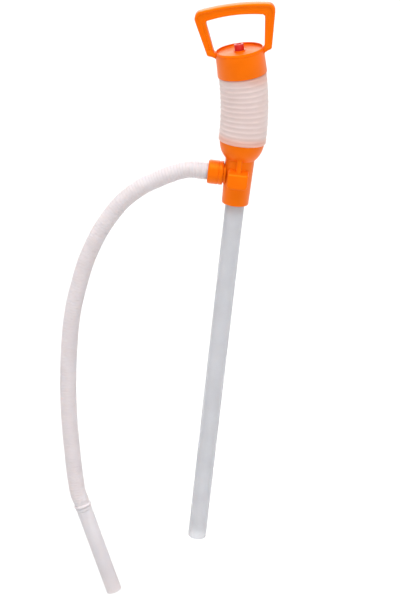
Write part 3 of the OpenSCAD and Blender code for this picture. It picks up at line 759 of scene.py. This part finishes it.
def makeBody(look, branchLook, hookLook):
    piece = makeBarrel(look)
    outside, face, root = branchLook["radius"], branchLook["face"], look["bore"] + 1
    stub, end = branchLook["stub"], branchLook["stubEnd"]
    side = turned("sideBranch", [(0, root), (outside, root), (outside, face - 0.3),
                                 (outside - 0.3, face), (stub, face), (stub, end - 0.5),
                                 (stub - 0.4, end), (0, end)])
    combine(piece, placed(side, branchPlace), "UNION")
    combine(piece, makeHook(hookLook), "UNION")
    combine(piece, makeHookRib(hookLook, look), "UNION")
    port, chamber, start = branchLook["port"], branchLook["chamber"], branchLook["chamberFrom"]
    way = turned("branchCut", [(0, 4), (port, 4), (port, start), (chamber, start),
                               (chamber, end + 2), (0, end + 2)], 64)
    combine(piece, placed(way, branchPlace), "DIFFERENCE")
    return piece


finished(makeBody(body, branch, hook), orange, "orange_plastic", "pump", "pump_body", angle=30)
report("body made")

# Hose nut, with a collar and a groove at its inner end, and fine lines round the rest
nut = {"radius": 14.2, "start": 17.8, "length": 18.2, "endWall": 3.4, "nose": 2.3,
       "collar": 4.6, "groove": 0.55, "bore": 11.5, "hole": 10.55, "lines": 5,
       "lineStep": 2.0, "lineDepth": 0.15, "sides": 96}


def makeNut(look):
    r, high, collar, groove = look["radius"], look["length"], look["collar"], look["groove"]
    bore, hole, inner = look["bore"], look["hole"], look["length"] - look["endWall"]
    profile = [(bore, 0.4), (bore + 0.4, 0), (r - 0.8, 0), (r - 0.2, 0.25), (r, 0.9),
               (r, collar - 0.6), (r - 0.15, collar - 0.25), (r - groove, collar),
               (r - groove, collar + 0.6), (r - 0.2, collar + 0.9), (r, collar + 1.3)]
    for i in range(look["lines"]):
        at = collar + 2.6 + i * look["lineStep"]
        profile += [(r, at - 0.4), (r - look["lineDepth"], at), (r, at + 0.4)]
    nose = look["nose"]
    profile += [(r, high - nose - 0.1)]
    profile += arcPoints((r - nose, high - nose), nose, 0, math.pi / 2, 5)[1:]
    profile += [(hole + 0.4, high), (hole, high - 0.4), (hole, inner), (bore, inner), (bore, 0.4)]
    piece = turned("hoseNut", profile, look["sides"])
    return placed(piece, branchPlace @ Matrix.Translation((0, 0, look["start"] * mm)))


finished(makeNut(nut), orange, "orange_plastic", "nut", "hose_nut")
report("nut made")

# Suction pipe, cut square at the foot
pipe = {"radius": 11.4, "wall": 1.5, "low": -492.0, "high": -39.1, "edge": 0.3, "rings": 24,
        "sides": 96}


def makePipe(look):
    r, bore, low, high = look["radius"], look["radius"] - look["wall"], look["low"], look["high"]
    edge, rings = look["edge"], look["rings"]
    profile = [(bore, low + 0.2), (bore + 0.2, low), (r - edge, low), (r, low + edge)]
    span = high - edge - low - edge
    profile += [(r, low + edge + span * i / rings) for i in range(1, rings + 1)]
    profile += [(r - 0.2, high), (bore, high), (bore, low + 0.2)]
    return turned("suctionPipe", profile, look["sides"])


finished(makePipe(pipe), clearPipe, "pipe_plastic", "pump", "suction_pipe")
report("pipe made")

# The other inner parts keep their own shapes and get their finishes
innerParts = {"bellows_seal": rubber, "cap_gasket": rubber, "release_seal": rubber,
              "inlet_disc": rubber, "outlet_flap": rubber, "hose_washer": rubber,
              "stem_clip": steel, "inlet_seat": whiteMoulding, "inlet_cage": whiteMoulding,
              "outlet_seat": whiteMoulding, "hose_spigot": whiteMoulding,
              "hose_grip_ring": whiteMoulding}
for nodeName, material in innerParts.items():
    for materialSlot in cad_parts[nodeName].material_slots:
        materialSlot.material = material
report("inner parts finished")

# Studio: a pale floor far below, a wide soft sun overhead and weaker ones round it. The
# room is bright at the horizon and dimmer overhead
studio = {"floor": -640.0, "floorSize": 60.0, "floorTone": (0.62, 0.64), "mottle": 3.0,
          "horizon": 1.0, "overhead": 0.1, "bandTop": 0.75}
suns = [{"name": "topLight", "from": (-0.06, -0.2, 1.0), "power": 4.4, "angle": 50},
        {"name": "sideLight", "from": (-1.0, -0.42, 0.3), "power": 0.2, "angle": 24},
        {"name": "fillLight", "from": (0.6, -1.0, 0.2), "power": 0.75, "angle": 60},
        {"name": "backLight", "from": (-0.15, 0.9, 0.45), "power": 0.9, "angle": 40}]


def makeFloor(look):
    deselectAll()
    bpy.ops.mesh.primitive_plane_add(size=look["floorSize"], location=(0, 0, look["floor"] * mm))
    floor = bpy.context.object
    floor.name = "studioFloor"
    material, nodes, links, shader, place = startMaterial("paleFloor")
    mottle = addNode(nodes, "ShaderNodeTexNoise", Scale=look["mottle"], Detail=2.0)
    tone = addNode(nodes, "ShaderNodeMapRange")
    tone.inputs["To Min"].default_value = look["floorTone"][0]
    tone.inputs["To Max"].default_value = look["floorTone"][1]
    links.new(place, mottle.inputs["Vector"])
    links.new(mottle.outputs["Fac"], tone.inputs["Value"])
    links.new(tone.outputs["Result"], shader.inputs["Base Color"])
    shader.inputs["Roughness"].default_value = 0.9
    shader.inputs["Specular IOR Level"].default_value = 0.1
    floor.data.materials.append(material)


def makeSuns(sunList):
    for sun in sunList:
        light = bpy.data.lights.new(sun["name"], "SUN")
        light.energy, light.angle = sun["power"], math.radians(sun["angle"])
        lamp = bpy.data.objects.new(sun["name"], light)
        lamp.rotation_euler = Vector(sun["from"]).to_track_quat("Z", "Y").to_euler()
        scene.collection.objects.link(lamp)


def makeRoom(look):
    world = bpy.data.worlds.new("paleRoom")
    world.use_nodes = True
    nodes, links = world.node_tree.nodes, world.node_tree.links
    backdrop = nodes["Background"]
    backdrop.inputs["Color"].default_value = (1, 1, 1, 1)
    height = addNode(nodes, "ShaderNodeSeparateXYZ")
    glow = addNode(nodes, "ShaderNodeMapRange")
    glow.inputs["From Max"].default_value = look["bandTop"]
    glow.inputs["To Min"].default_value = look["horizon"]
    glow.inputs["To Max"].default_value = look["overhead"]
    direction = addNode(nodes, "ShaderNodeTexCoord").outputs["Generated"]
    links.new(direction, height.inputs["Vector"])
    links.new(height.outputs["Z"], glow.inputs["Value"])
    links.new(glow.outputs["Result"], backdrop.inputs["Strength"])
    scene.world = world
    scene.view_settings.view_transform = "Standard"


makeFloor(studio)
makeSuns(suns)
makeRoom(studio)
report("studio ready")
